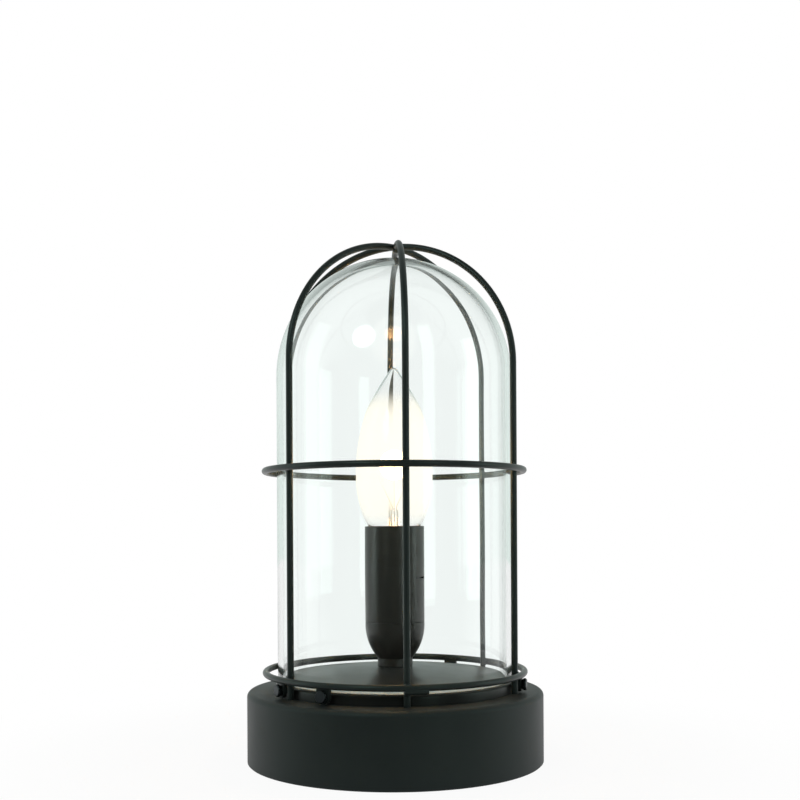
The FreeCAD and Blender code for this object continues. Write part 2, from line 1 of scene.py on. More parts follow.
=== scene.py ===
import bmesh
import bpy
import numpy as np
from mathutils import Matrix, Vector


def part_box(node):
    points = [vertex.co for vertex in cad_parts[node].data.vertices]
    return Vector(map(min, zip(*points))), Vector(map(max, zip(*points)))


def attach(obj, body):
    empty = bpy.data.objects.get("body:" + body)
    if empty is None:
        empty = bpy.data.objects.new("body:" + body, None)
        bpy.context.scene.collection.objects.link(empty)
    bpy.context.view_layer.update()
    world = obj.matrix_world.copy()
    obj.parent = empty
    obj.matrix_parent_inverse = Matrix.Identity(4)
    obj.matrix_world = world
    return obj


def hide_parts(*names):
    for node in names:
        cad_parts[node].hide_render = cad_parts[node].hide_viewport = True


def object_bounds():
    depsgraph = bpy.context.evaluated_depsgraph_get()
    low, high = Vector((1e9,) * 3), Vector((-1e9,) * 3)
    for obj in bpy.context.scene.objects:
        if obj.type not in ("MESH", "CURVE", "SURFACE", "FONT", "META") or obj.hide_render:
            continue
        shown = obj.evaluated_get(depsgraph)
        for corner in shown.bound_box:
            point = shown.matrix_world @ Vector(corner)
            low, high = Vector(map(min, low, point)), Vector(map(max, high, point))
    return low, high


# A table lamp with a glass dome in a wire cage, in metres. The lamp's axis is Z and its front
# faces -Y. Azimuths are in degrees from the front towards +X.
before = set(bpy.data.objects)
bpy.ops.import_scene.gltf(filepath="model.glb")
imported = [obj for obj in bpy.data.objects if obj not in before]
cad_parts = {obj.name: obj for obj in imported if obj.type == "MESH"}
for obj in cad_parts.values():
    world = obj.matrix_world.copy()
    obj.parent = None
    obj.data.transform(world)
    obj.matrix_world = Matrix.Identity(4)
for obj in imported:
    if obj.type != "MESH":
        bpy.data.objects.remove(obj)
cad_box = [list(corner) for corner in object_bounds()]
mm = 0.001


# Camera
# The photograph was taken with a level lens a little below half the lamp's height. Its frame
# was shifted up and turned by a third of a degree.
picture_px = 800
axis_px = 394.5
horizon_px = 534.0
eye = (0.0, -519 * mm, 106.9 * mm)
lean = np.radians(0.3)
lens = bpy.data.cameras.new("camera")
lens.lens = 49.0
lens.shift_x = (picture_px / 2 - axis_px) / picture_px
lens.shift_y = (horizon_px - picture_px / 2) / picture_px
lens.clip_start = 0.01
camera = bpy.data.objects.new("camera", lens)
camera.location = eye
camera.rotation_euler = (np.pi / 2, lean, 0)
bpy.context.scene.collection.objects.link(camera)
bpy.context.scene.camera = camera
bpy.context.scene.view_settings.view_transform = "Standard"


# Studio
# A white paper table in a white surround, which the lamp reflects a little green, and darker
# behind the lens and overhead. A round lamp stands at the upper left, a panel at each side and
# a strip at the right.
def colour(code):
    """Linear red, green, blue and alpha of an sRGB hex value, by the standard's two pieces."""
    srgb = np.array([int(code[i:i + 2], 16) for i in (1, 3, 5)]) / 255
    linear = np.where(srgb > 0.04045, ((srgb + 0.055) / 1.055) ** 2.4, srgb / 12.92)
    return (*linear.tolist(), 1.0)


def node(tree, kind, inputs=(), **settings):
    """One shader node. Inputs are pairs of a socket's name or number and a value or a link."""
    made = tree.nodes.new("ShaderNode" + kind)
    for name, value in settings.items():
        setattr(made, name, value)
    for key, value in inputs:
        if isinstance(value, bpy.types.NodeSocket):
            tree.links.new(value, made.inputs[key])
        else:
            made.inputs[key].default_value = value
    return made


def bare_material(name):
    """A new material, its empty tree, and the Object coordinates that its patterns lie on."""
    made = bpy.data.materials.new(name)
    made.use_nodes = True
    made.node_tree.nodes.clear()
    return made, made.node_tree, node(made.node_tree, "TexCoord").outputs["Object"]


def seen_directly(tree):
    """1 for what the lens sees past the lamp or through its glass, 0 for what is reflected. The
    count of bounces is compared with 0.5, which parts none from one."""
    ray = node(tree, "LightPath")
    open_view = node(tree, "Math", [(0, ray.outputs["Is Camera Ray"]),
                                    (1, ray.outputs["Is Transmission Ray"])], operation="MAXIMUM")
    bounces = node(tree, "Math", [(0, ray.outputs["Glossy Depth"]),
                                  (1, ray.outputs["Diffuse Depth"])], operation="ADD")
    unbroken = node(tree, "Math", [(0, bounces.outputs[0]), (1, 0.5)], operation="LESS_THAN")
    return node(tree, "Math", [(0, open_view.outputs[0]), (1, unbroken.outputs[0])],
                operation="MULTIPLY").outputs[0]


surround = bpy.data.worlds.new("white_surround")
surround.use_nodes = True
bpy.context.scene.world = surround
tree = surround.node_tree
tree.nodes.clear()
towards = node(tree, "TexCoord").outputs["Generated"]
parts = node(tree, "SeparateXYZ", [(0, towards)]).outputs
wall = node(tree, "MapRange", [("Value", parts["Y"]), ("From Min", -0.50), ("From Max", -0.10),
                               ("To Min", 0.03), ("To Max", 1.0)],
            interpolation_type="SMOOTHSTEP")
ceiling = node(tree, "MapRange", [("Value", parts["Z"]), ("From Min", 0.20), ("From Max", 0.60),
                                  ("To Min", 1.0), ("To Max", 0.5)],
               interpolation_type="SMOOTHSTEP")
room = node(tree, "Math", [(0, wall.outputs[0]), (1, ceiling.outputs[0])], operation="MULTIPLY")
direct = seen_directly(tree)
level = node(tree, "Mix", [(0, direct), (2, room.outputs[0]), (3, 1.0)])
tint = node(tree, "Mix", [(0, direct), (6, colour("#e2ece8")), (7, colour("#ffffff"))],
            data_type="RGBA")
white = node(tree, "Background", [("Color", tint.outputs[2]), ("Strength", level.outputs[0])])
node(tree, "OutputWorld", [("Surface", white.outputs[0])])

half = 3.0
floor_mesh = bpy.data.meshes.new("table_top")
floor_mesh.from_pydata([(-half, -half, 0), (half, -half, 0), (half, half, 0), (-half, half, 0)],
                       [], [(0, 1, 2, 3)])
table_top = bpy.data.objects.new("table_top", floor_mesh)
bpy.context.scene.collection.objects.link(table_top)
# Near the lamp a small share of the paper is lit, so that a faint shadow shows. Elsewhere the
# lens sees plain white. What the lamp mirrors of the paper darkens towards the front.
paper, tree, place = bare_material("white_paper_table")
away = node(tree, "VectorMath", [(0, place)], operation="LENGTH").outputs["Value"]
fade = node(tree, "MapRange", [("Value", away), ("From Min", 0.09), ("From Max", 0.26),
                               ("To Min", 0.94), ("To Max", 1.0)],
            interpolation_type="SMOOTHSTEP")
ray = node(tree, "LightPath")
direct = seen_directly(tree)
plain = node(tree, "Math", [(0, fade.outputs[0]), (1, direct)], operation="MULTIPLY")
mirrored = node(tree, "Math", [(0, ray.outputs["Is Glossy Ray"]), (1, direct)],
                operation="SUBTRACT", use_clamp=True)
shining = node(tree, "Math", [(0, plain.outputs[0]), (1, mirrored.outputs[0])],
               operation="MAXIMUM")
along = node(tree, "SeparateXYZ", [(0, place)]).outputs["Y"]
front = node(tree, "MapRange", [("Value", along), ("From Min", -0.30), ("From Max", 0.10),
                                ("To Min", 0.04), ("To Max", 0.9)],
             interpolation_type="SMOOTHSTEP")
glare = node(tree, "Mix", [(0, direct), (2, front.outputs[0]), (3, 1.0)])
sheet = node(tree, "BsdfDiffuse", [("Color", colour("#f4f5f4"))])
shine = node(tree, "Emission", [("Color", colour("#ffffff")), ("Strength", glare.outputs[0])])
both = node(tree, "MixShader", [(0, shining.outputs[0]), (1, sheet.outputs[0]),
                                (2, shine.outputs[0])])
node(tree, "OutputMaterial", [("Surface", both.outputs[0])])
floor_mesh.materials.append(paper)


def soft_lamp(name, azimuth, rise, distance, size, power, shape="RECTANGLE", tall=None):
    """An area lamp aimed at the middle of the lamp, placed by azimuth, elevation and distance."""
    light = bpy.data.lights.new(name, "AREA")
    light.shape = shape
    light.size = size
    if tall:
        light.size_y = tall
    light.energy = power
    light.color = colour("#ebfff9")[:3]
    lamp = bpy.data.objects.new(name, light)
    a, e = np.radians(azimuth), np.radians(rise)
    out = np.array([np.sin(a) * np.cos(e), -np.cos(a) * np.cos(e), np.sin(e)])
    middle = np.array([0, 0, (cad_box[0][2] + cad_box[1][2]) / 2])
    lamp.location = middle + distance * out
    lamp.rotation_euler = (np.pi / 2 - e, 0, a)
    bpy.context.scene.collection.objects.link(lamp)


soft_lamp("round_lamp", azimuth=-30.4, rise=32.6, distance=1.2, size=0.42, power=2.8, shape="DISK")
soft_lamp("left_panel", azimuth=-84.0, rise=8.0, distance=1.3, size=0.45, power=2.1, tall=1.6)
soft_lamp("right_panel", azimuth=81.0, rise=4.0, distance=1.3, size=0.38, power=2.4, tall=1.2)
soft_lamp("right_strip", azimuth=33.0, rise=14.0, distance=1.3, size=0.26, power=2.6, tall=1.4)


# Base drum
# A shallow drum drawn from steel sheet, with a rounded upper edge and a plain wall that the
# cable's bush passes at the rear. It is powder coated in satin black, and carries all else.
def arc(centre, radius, start, end, steps):
    """Points on a circle between two angles in degrees, measured up from the outward direction:
    centre + radius (cos a, sin a)."""
    a = np.radians(np.linspace(start, end, steps))
    return np.stack([centre[0] + radius * np.cos(a), centre[1] + radius * np.sin(a)], 1)


def outline(*parts):
    """One outline from points and arcs, joined in their order."""
    return np.concatenate([np.atleast_2d(np.array(p, float)) for p in parts])


def piece_from_grid(name, grid, wrap=True, body=None, sharp=30.0):
    """A mesh on a grid of points. Each cell is a face. Both directions close on themselves when
    wrap is true, otherwise only the second. Points that coincide, as at poles, are merged."""
    rows, columns = grid.shape[:2]
    i = np.arange(rows if wrap else rows - 1)[:, None]
    j = np.arange(columns)[None, :]
    down, right = (i + 1) % rows, (j + 1) % columns
    corners = (i * columns + j, i * columns + right, down * columns + right, down * columns + j)
    faces = np.stack(corners, -1).reshape(-1, 4)
    mesh = bpy.data.meshes.new(name)
    mesh.vertices.add(rows * columns)
    mesh.vertices.foreach_set("co", grid.astype(np.float32).ravel())
    mesh.loops.add(faces.size)
    mesh.loops.foreach_set("vertex_index", faces.astype(np.int32).ravel())
    mesh.polygons.add(len(faces))
    mesh.polygons.foreach_set("loop_start", np.arange(0, faces.size, 4, dtype=np.int32))
    mesh.update(calc_edges=True)
    clean = bmesh.new()
    clean.from_mesh(mesh)
    bmesh.ops.remove_doubles(clean, verts=clean.verts, dist=1e-7)
    bmesh.ops.recalc_face_normals(clean, faces=clean.faces)
    clean.to_mesh(mesh)
    clean.free()
    mesh.shade_smooth()
    mesh.set_sharp_from_angle(angle=np.radians(sharp))
    made = bpy.data.objects.new(name, mesh)
    bpy.context.scene.collection.objects.link(made)
    if body:
        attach(made, body)
    return made


def turned(profile, segments=192):
    """A profile of radius and height turned about Z: the point at angle t is
    (r sin t, -r cos t, z). The profile's direction closes on itself."""
    t = np.linspace(0, 2 * np.pi, segments, endpoint=False)
    r, z = profile[:, 0][:, None], profile[:, 1][:, None]
    return np.stack([r * np.sin(t), -r * np.cos(t), z + 0 * t], -1)


def cut_away(piece, cutter):
    """Takes the cutter's volume out of a piece and deletes the cutter."""
    step = piece.modifiers.new("cut", "BOOLEAN")
    step.object = cutter
    step.solver = "EXACT"
    shaped = piece.evaluated_get(bpy.context.evaluated_depsgraph_get())
    shape = bpy.data.meshes.new_from_object(shaped)
    piece.modifiers.clear()
    piece.data = shape
    bpy.data.objects.remove(cutter)
    shape.shade_smooth()
    shape.set_sharp_from_angle(angle=np.radians(30))


def dress(pieces, material):
    """Gives pieces one material in all of their slots."""
    for piece in pieces:
        piece.data.materials.clear()
        piece.data.materials.append(material)


def powder_coat(name, tone, worn_tone, roughness):
    """Baked polyester powder: satin, with the fine orange peel of 0.5 mm that the powder leaves
    and a faint cloudiness of about 12 mm in its tone and gloss."""
    made, tree, place = bare_material(name)
    cloud = node(tree, "TexNoise", [("Vector", place), ("Scale", 1 / (12 * mm)), ("Detail", 3.0)])
    tones = node(tree, "Mix", [(0, cloud.outputs[0]), (6, colour(tone)), (7, colour(worn_tone))],
                 data_type="RGBA")
    gloss = node(tree, "MapRange", [("Value", cloud.outputs[0]), ("To Min", roughness - 0.05),
                                    ("To Max", roughness + 0.05)])
    peel = node(tree, "TexNoise", [("Vector", place), ("Scale", 1 / (0.5 * mm)), ("Detail", 2.0)])
    relief = node(tree, "Bump", [("Strength", 0.07), ("Distance", 0.02 * mm),
                                 ("Height", peel.outputs[0])])
    skin = node(tree, "BsdfPrincipled", [("Base Color", tones.outputs[2]),
                                         ("Roughness", gloss.outputs[0]), ("IOR", 1.5),
                                         ("Specular Tint", colour("#a9b9b4")),
                                         ("Normal", relief.outputs[0])])
    node(tree, "OutputMaterial", [("Surface", skin.outputs[0])])
    return made


low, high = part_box("base_shell")
base_r = high.x
base_top = high.z
base_low = low.z
sheet_t = 1.2 * mm
edge_r = 2.5 * mm
hem = 0.4 * mm
outer_strip = 20 * mm
tube_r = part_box("nipple")[1].x
bend = (base_r - edge_r, base_top - edge_r)
drum_profile = outline((tube_r, base_top), (base_r - outer_strip, base_top),
                       arc(bend, edge_r, 90, 0, 14), (base_r, base_low + hem),
                       (base_r - hem, base_low), (base_r - sheet_t, base_low),
                       arc(bend, edge_r - sheet_t, 0, 90, 6), (tube_r, base_top - sheet_t))
drum = piece_from_grid("base_drum", turned(drum_profile, 256), body="base")
bush_low, bush_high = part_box("cable_bush")
bush_r = 4.9 * mm
bush_z = (bush_low.z + bush_high.z) / 2
way_half = 20 * mm
way = turned(outline((0, -way_half), (bush_r, -way_half), (bush_r, way_half), (0, way_half)), 48)
way = np.stack([way[..., 0], base_r + way[..., 2], bush_z + way[..., 1]], -1)
cut_away(drum, piece_from_grid("way", way))
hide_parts("base_shell")
dress([drum], powder_coat("satin_black_powder_coat", "#222526", "#292c2c", 0.50))


# Gallery
# A spun steel cup with a low wall stands on the drum. Its flat seat carries the glass, and the
# low crown in its middle centres it. Its coat is smoother than the drum's and mirrors more.
def three_point_arc(a, middle, b, steps):
    """Points on the circle through three points. Its centre is where the chords' bisectors
    meet."""
    a, middle, b = (np.array(p, float) for p in (a, middle, b))
    rows = 2 * np.array([middle - a, b - a])
    centre = np.linalg.solve(rows, [middle @ middle - a @ a, b @ b - a @ a])
    turn = np.unwrap([np.arctan2(*(p - centre)[::-1]) for p in (a, middle, b)])
    t = np.linspace(turn[0], turn[2], steps)
    return centre + np.linalg.norm(a - centre) * np.stack([np.cos(t), np.sin(t)], 1)


low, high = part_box("gallery")
gallery_r = high.x
gallery_t = 1.0 * mm
shoulder_r = 1.4 * mm
seat_z = base_top + 4.8 * mm
plate_edge_z = seat_z + 2.0 * mm
plate_r = gallery_r - 3.8 * mm
flat_r = 10 * mm
rim_r = 0.6 * mm
shoulder = (gallery_r - shoulder_r, seat_z - shoulder_r)
rim = (plate_r - rim_r, plate_edge_z - rim_r)
crown_mid = ((flat_r + rim[0]) / 2, plate_edge_z + 0.62 * (high.z - plate_edge_z))
crown = three_point_arc((rim[0], plate_edge_z), crown_mid, (flat_r, high.z), 40)
cup_profile = outline((gallery_r, base_top), arc(shoulder, shoulder_r, 0, 90, 8),
                      (plate_r, seat_z), arc(rim, rim_r, 0, 90, 6), crown[1:],
                      (tube_r, high.z), (tube_r, high.z - gallery_t),
                      (flat_r, high.z - gallery_t), (rim[0] - gallery_t, plate_edge_z - gallery_t),
                      (plate_r - gallery_t, seat_z - gallery_t),
                      (gallery_r - gallery_t, seat_z - 2 * gallery_t),
                      (gallery_r - gallery_t, base_top))
gallery = piece_from_grid("gallery_cup", turned(cup_profile), body="base")
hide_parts("gallery")
dress([gallery], powder_coat("smooth_black_powder_coat", "#232120", "#2a2827", 0.33))


# Lampholder
# A candle lampholder moulded from black phenolic: a cap that swells from a straight foot, and
# a sleeve with a latch slot that is pushed over its rim. A fine line shows where they meet.
cap_low, cap_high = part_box("holder_cap")
sleeve_low, sleeve_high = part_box("holder_sleeve")
seam_z = sleeve_low.z
seam_r = cap_high.x
foot_r = 8.3 * mm
foot_z = cap_low.z
foot_bevel = 0.4 * mm
neck_z = foot_z + 4.0 * mm
swell = seam_z - neck_z
grow = seam_r - foot_r
spigot_r = seam_r - 1.25 * mm
seam_bevel = 0.15 * mm
bore_r = seam_r - 2.6 * mm
floor_z = foot_z + 6.4 * mm
swell_mid = (foot_r + 0.66 * grow, neck_z + 0.36 * swell)
cap_profile = outline((tube_r, foot_z), (foot_r - foot_bevel, foot_z),
                      (foot_r, foot_z + foot_bevel),
                      three_point_arc((foot_r, neck_z), swell_mid, (seam_r, seam_z - seam_bevel),
                                      40),
                      (seam_r - seam_bevel, seam_z), (spigot_r, seam_z), (spigot_r, cap_high.z),
                      (bore_r, cap_high.z), (bore_r, foot_z + 16 * mm),
                      (foot_r - 1.3 * mm, floor_z), (tube_r, floor_z))
cap = piece_from_grid("lampholder_cap", turned(cap_profile), body="base")
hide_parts("holder_cap")
top_r = sleeve_high.x
inner_r = seam_r - 1.15 * mm
lip = 0.38 * mm
sleeve_profile = outline((inner_r, seam_z), (seam_r - seam_bevel, seam_z),
                         (seam_r, seam_z + seam_bevel),
                         arc((top_r - lip, sleeve_high.z - lip), lip, 0, 90, 6),
                         (inner_r, sleeve_high.z))
sleeve = piece_from_grid("lampholder_sleeve", turned(sleeve_profile), body="base")
slot_low = foot_z + 41.8 * mm
slot_high = slot_low + 0.8 * mm
slot_from, slot_to = 48, 77
past = 1 * mm
t = np.radians(np.linspace(slot_from, slot_to, 20))[:, None]
ring = outline((inner_r - past, slot_low), (top_r + past, slot_low), (top_r + past, slot_high),
               (inner_r - past, slot_high))
wedge = np.stack([ring[:, 0] * np.sin(t), -ring[:, 0] * np.cos(t), ring[:, 1] + 0 * t], -1)


def with_ends(grid):
    """The same grid with both ends closed: each gets a row that lies wholly in its middle."""
    first = np.repeat(grid[:1].mean(1, keepdims=True), grid.shape[1], 1)
    last = np.repeat(grid[-1:].mean(1, keepdims=True), grid.shape[1], 1)
    return np.concatenate([first, grid, last])


cut_away(sleeve, piece_from_grid("slot_cutter", with_ends(wedge), wrap=False))
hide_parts("holder_sleeve")


def moulded(name, tone, streak, roughness, ior=1.6):
    """A moulded black part: dull, with a fine grain of 0.3 mm and faint flow marks that run
    upwards, a few millimetres apart, from the press."""
    made, tree, place = bare_material(name)
    drawn = node(tree, "Mapping", [("Vector", place), ("Scale", (1.0, 1.0, 0.12))])
    flow = node(tree, "TexNoise", [("Vector", drawn.outputs[0]), ("Scale", 1 / (4 * mm)),
                                   ("Detail", 2.0)])
    tones = node(tree, "Mix", [(0, flow.outputs[0]), (6, colour(tone)), (7, colour(streak))],
                 data_type="RGBA")
    grain = node(tree, "TexNoise", [("Vector", place), ("Scale", 1 / (0.3 * mm)), ("Detail", 2.0)])
    relief = node(tree, "Bump", [("Strength", 0.05), ("Distance", 0.02 * mm),
                                 ("Height", grain.outputs[0])])
    gloss = node(tree, "MapRange", [("Value", flow.outputs[0]), ("To Min", roughness - 0.06),
                                   ("To Max", roughness + 0.08)])
    skin = node(tree, "BsdfPrincipled", [("Base Color", tones.outputs[2]),
                                         ("Roughness", gloss.outputs[0]), ("IOR", ior),
                                         ("Normal", relief.outputs[0])])
    node(tree, "OutputMaterial", [("Surface", skin.outputs[0])])
    return made


def as_packed(*names):
    """The CAD pieces of these names, which keep their shape."""
    return [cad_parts[name] for name in names]


dress([cap, sleeve, *as_packed("holder_core")],
      moulded("moulded_black_phenolic", "#171614", "#2c2620", 0.30))


# Fittings of the base
# A plate on pillars closes the drum from below. It is zinc plated and pale, as are its screws
# and the threaded tube with its nut and washer. The feet are rubber and dull, the cable's bush
# is nylon, and the ballast is rough cast iron.
def metal(name, tone, dull_tone, roughness, size=6.0, drawn=(1.0, 1.0, 1.0)):
    """Bare or plated metal: its tone and gloss wander over a few millimetres, and fine marks,
    made 0.15 mm wide so that they show, are stretched along the way it was drawn or rolled."""
    made, tree, place = bare_material(name)
    cloud = node(tree, "TexNoise", [("Vector", place), ("Scale", 1 / (size * mm)),
                                    ("Detail", 4.0)])
    tones = node(tree, "Mix", [(0, cloud.outputs[0]), (6, colour(tone)), (7, colour(dull_tone))],
                 data_type="RGBA")
    gloss = node(tree, "MapRange", [("Value", cloud.outputs[0]), ("To Min", roughness - 0.07),
                                    ("To Max", roughness + 0.07)])
    way = node(tree, "Mapping", [("Vector", place), ("Scale", drawn)])
    marks = node(tree, "TexNoise", [("Vector", way.outputs[0]), ("Scale", 1 / (0.15 * mm)),
                                    ("Detail", 2.0)])
    relief = node(tree, "Bump", [("Strength", 0.12), ("Distance", 0.01 * mm),
                                 ("Height", marks.outputs[0])])
    skin = node(tree, "BsdfPrincipled", [("Base Color", tones.outputs[2]), ("Metallic", 1.0),
                                         ("Roughness", gloss.outputs[0]),
                                         ("Normal", relief.outputs[0])])
    node(tree, "OutputMaterial", [("Surface", skin.outputs[0])])
    return made


dress(as_packed("cable_bush"), moulded("moulded_black_nylon", "#18191a", "#202122", 0.46, 1.53))
dress(as_packed("feet"), moulded("black_rubber", "#191919", "#232322", 0.74, 1.5))
dress(as_packed("bottom_plate", "plate_pillars", "plate_screws", "pillar_screws", "nipple",
                "nipple_washer", "nipple_nut"),
      metal("zinc_plated_steel", "#c3c5c6", "#9ea2a4", 0.34))
dress(as_packed("ballast_ring"), metal("cast_iron", "#57554f", "#3d3b38", 0.66, 3.0))


# Contacts
# The lampholder's screw shell and the tongue in its middle are stamped from brass, and the
# screws of its terminals are turned from it. It shines yellow.
dress(as_packed("screw_shell", "centre_contact", "terminal_screws"),
      metal("stamped_brass", "#d9b36a", "#b98e48", 0.30))


# Bulb
# A clear candle bulb of thin blown glass with a round tip, lit. Inside are a pinched glass
# stem, two nickel leads, a support wire and one bow of coiled tungsten. Its cap is nickelled
# brass, with a tip of solder on fused black glass.
low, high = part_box("bulb_envelope")
bulb_r = high.x
tip_z = high.z
neck_low = low.z
neck_r = 5.8 * mm
collar_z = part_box("bulb_cap")[1].z
wide_z = sleeve_high.z + 24.4 * mm
ball_r = 2.1 * mm
ball_from = 32.0
blown_t = 0.7 * mm


def bulb_outline(inset, steps):
    """The candle's outline from neck to tip, drawn in by an inset: two arcs that swell, two that
    taper, and a ball. The arcs pass through fixed shares of the bulb's radius and height."""
    r, neck, ball = bulb_r - inset, neck_r - inset, ball_r - inset
    ball_z, begin = tip_z - ball_r, np.radians(ball_from)
    end_r, end_z = ball * np.cos(begin), ball_z + ball * np.sin(begin)
    rise, fall = wide_z - collar_z, end_z - wide_z
    swell_end = (neck + 0.80 * (r - neck), collar_z + 0.45 * rise)
    taper_end = (0.70 * r, wide_z + 0.63 * fall)
    first_swell = (neck + 0.43 * (r - neck), collar_z + 0.15 * rise)
    last_swell = (r - 0.25 * (r - swell_end[0]), collar_z + 0.71 * rise)
    first_taper = (r - 0.24 * (r - taper_end[0]), wide_z + 0.31 * fall)
    last_taper = (end_r + 0.55 * (taper_end[0] - end_r), wide_z + 0.81 * fall)
    return outline(three_point_arc((neck, collar_z), first_swell, swell_end, steps),
                   three_point_arc(swell_end, last_swell, (r, wide_z), steps)[1:],
                   three_point_arc((r, wide_z), first_taper, taper_end, steps)[1:],
                   three_point_arc(taper_end, last_taper, (end_r, end_z), steps)[1:],
                   arc((0, ball_z), ball, ball_from, 90.0, 8)[1:])


shell = outline((neck_r - blown_t, neck_low), (neck_r, neck_low), bulb_outline(0, 16),
                bulb_outline(blown_t, 16)[::-1])
envelope = piece_from_grid("bulb_glass", turned(shell, 96), body="bulb")
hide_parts("bulb_envelope")
# Centre of the painted glow, a cream emission on the bulb's glass near the filament.
painted_glow_centre_z = wide_z + 7 * mm


def clear_glass(name, tone, ior, glow=None):
    """Clear blown glass with faint waves 25 mm apart. Shadows pass through it, as light does
    through thin walls. With glow given, a lit bulb's glass also carries a painted glow: a veil of
    cream emission on the glass that fades with the distance from the filament."""
    made, tree, place = bare_material(name)
    wave = node(tree, "TexNoise", [("Vector", place), ("Scale", 1 / (25 * mm)), ("Detail", 1.0)])
    relief = node(tree, "Bump", [("Strength", 0.05), ("Distance", 0.10 * mm),
                                 ("Height", wave.outputs[0])])
    skin = node(tree, "BsdfPrincipled", [("Base Color", colour(tone)), ("Roughness", 0.0),
                                         ("IOR", ior), ("Transmission Weight", 1.0),
                                         ("Normal", relief.outputs[0])])
    surface = skin.outputs[0]
    if glow:
        # Painted glow: cream emission on the glass itself, strongest near the filament and gone 35
        # mm away.
        apart = node(tree, "VectorMath", [(0, place), (1, (0, 0, painted_glow_centre_z))], operation="DISTANCE")
        painted_glow_veil = node(tree, "MapRange", [("Value", apart.outputs["Value"]), ("From Min", 17 * mm),
                                       ("From Max", 35 * mm), ("To Min", glow), ("To Max", 0.0)],
                    interpolation_type="SMOOTHSTEP")
        painted_cream_glow = node(tree, "Emission", [("Color", colour("#fff7e7")), ("Strength", 1.25)])
        surface = node(tree, "MixShader", [(0, painted_glow_veil.outputs[0]), (1, surface),
                                           (2, painted_cream_glow.outputs[0])]).outputs[0]
    ray = node(tree, "LightPath")
    thin = node(tree, "BsdfTransparent", [("Color", colour("#f9fcfb"))])
    both = node(tree, "MixShader", [(0, ray.outputs["Is Shadow Ray"]), (1, surface),
                                    (2, thin.outputs[0])])
    node(tree, "OutputMaterial", [("Surface", both.outputs[0])])
    return made


# The bulb's glass carries a painted cream glow round the filament.
dress([envelope], clear_glass("bulb_glass_with_painted_glow", "#ffffff", 1.40, glow=0.74))
dress(as_packed("bulb_stem"), clear_glass("clear_stem_glass", "#f8fbfa", 1.50))
dress(as_packed("bulb_insulator"),
      moulded("fused_black_glass", "#0c0c0e", "#151517", 0.16, 1.5))
dress(as_packed("bulb_cap"), metal("nickelled_brass", "#c9c6bd", "#a8a499", 0.26))
dress(as_packed("bulb_button"), metal("soldered_tin", "#b4b5b6", "#8f9092", 0.42, 1.5))
dress(as_packed("lead_wires", "filament_support"),
      metal("drawn_nickel_wire", "#bdb7aa", "#8f877a", 0.32, 2.0, (1.0, 1.0, 0.1)))


# Filament
# Tungsten wire is coiled, and the coil hangs between the leads in a shallow bow towards the
# front. It glows amber, and hottest in its middle.
def drawn_wire(path, radius, across, sides=16, closed=False):
    """A round wire along a path: around each point p lies a circle p + r (cos a n + sin a b),
    with b = across made square to the path's direction, and n square to both."""
    step = np.roll(path, -1, 0) - np.roll(path, 1, 0) if closed else np.gradient(path, axis=0)
    step = step / np.linalg.norm(step, axis=1, keepdims=True)
    across = np.broadcast_to(np.array(across, float), path.shape)
    n = np.cross(step, across)
    n = n / np.linalg.norm(n, axis=1, keepdims=True)
    b = np.cross(n, step)
    a = np.linspace(0, 2 * np.pi, sides, endpoint=False)[None, :, None]
    grid = path[:, None] + radius * (np.cos(a) * n[:, None] + np.sin(a) * b[:, None])
    return grid if closed else with_ends(grid)


filament_low, filament_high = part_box("filament")
filament_z = (filament_low.z + filament_high.z) / 2
ends_z = wide_z + 3.0 * mm
bow_y = -4.5 * mm
bow_z = wide_z + 6.3 * mm
coil_r = 0.38 * mm
coil_wire_r = 0.07 * mm
coil_turns = 44
steps_per_turn = 12
s = np.linspace(-1, 1, coil_turns * steps_per_turn)
reach = abs(filament_low.x) - coil_r
line = np.stack([s * reach, bow_y * (1 - s ** 2), ends_z + (bow_z - ends_z) * (1 - s ** 2)], 1)
ahead = np.gradient(line, axis=0)
ahead /= np.linalg.norm(ahead, axis=1, keepdims=True)
side = np.cross(ahead, (0, 0, 1))
side /= np.linalg.norm(side, axis=1, keepdims=True)
lift = np.cross(side, ahead)
turn = (np.pi * coil_turns * s)[:, None]
coil = line + coil_r * (np.cos(turn) * side + np.sin(turn) * lift)
filament = piece_from_grid("filament_coil", drawn_wire(coil, coil_wire_r, (1, 0, 0), 6),
                           wrap=False, body="bulb", sharp=180)
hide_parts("filament")
hot, tree, place = bare_material("glowing_tungsten")
apart = node(tree, "VectorMath", [(0, place), (1, (0, 0, filament_z))], operation="DISTANCE")
heat = node(tree, "MapRange", [("Value", apart.outputs["Value"]), ("From Min", 2 * mm),
                               ("From Max", 8 * mm), ("To Min", 60.0), ("To Max", 22.0)])
glow = node(tree, "Emission", [("Color", colour("#ffca86")), ("Strength", heat.outputs[0])])
node(tree, "OutputMaterial", [("Surface", glow.outputs[0])])
dress([filament], hot)
warm = bpy.data.lights.new("filament_light", "POINT")
warm.energy = 0.18
warm.color = colour("#ffc080")[:3]
warm.shadow_soft_size = 8 * mm
warm_lamp = bpy.data.objects.new("filament_light", warm)
warm_lamp.location = (0, bow_y / 2, filament_z)
bpy.context.scene.collection.objects.link(warm_lamp)
warm_lamp.parent = filament


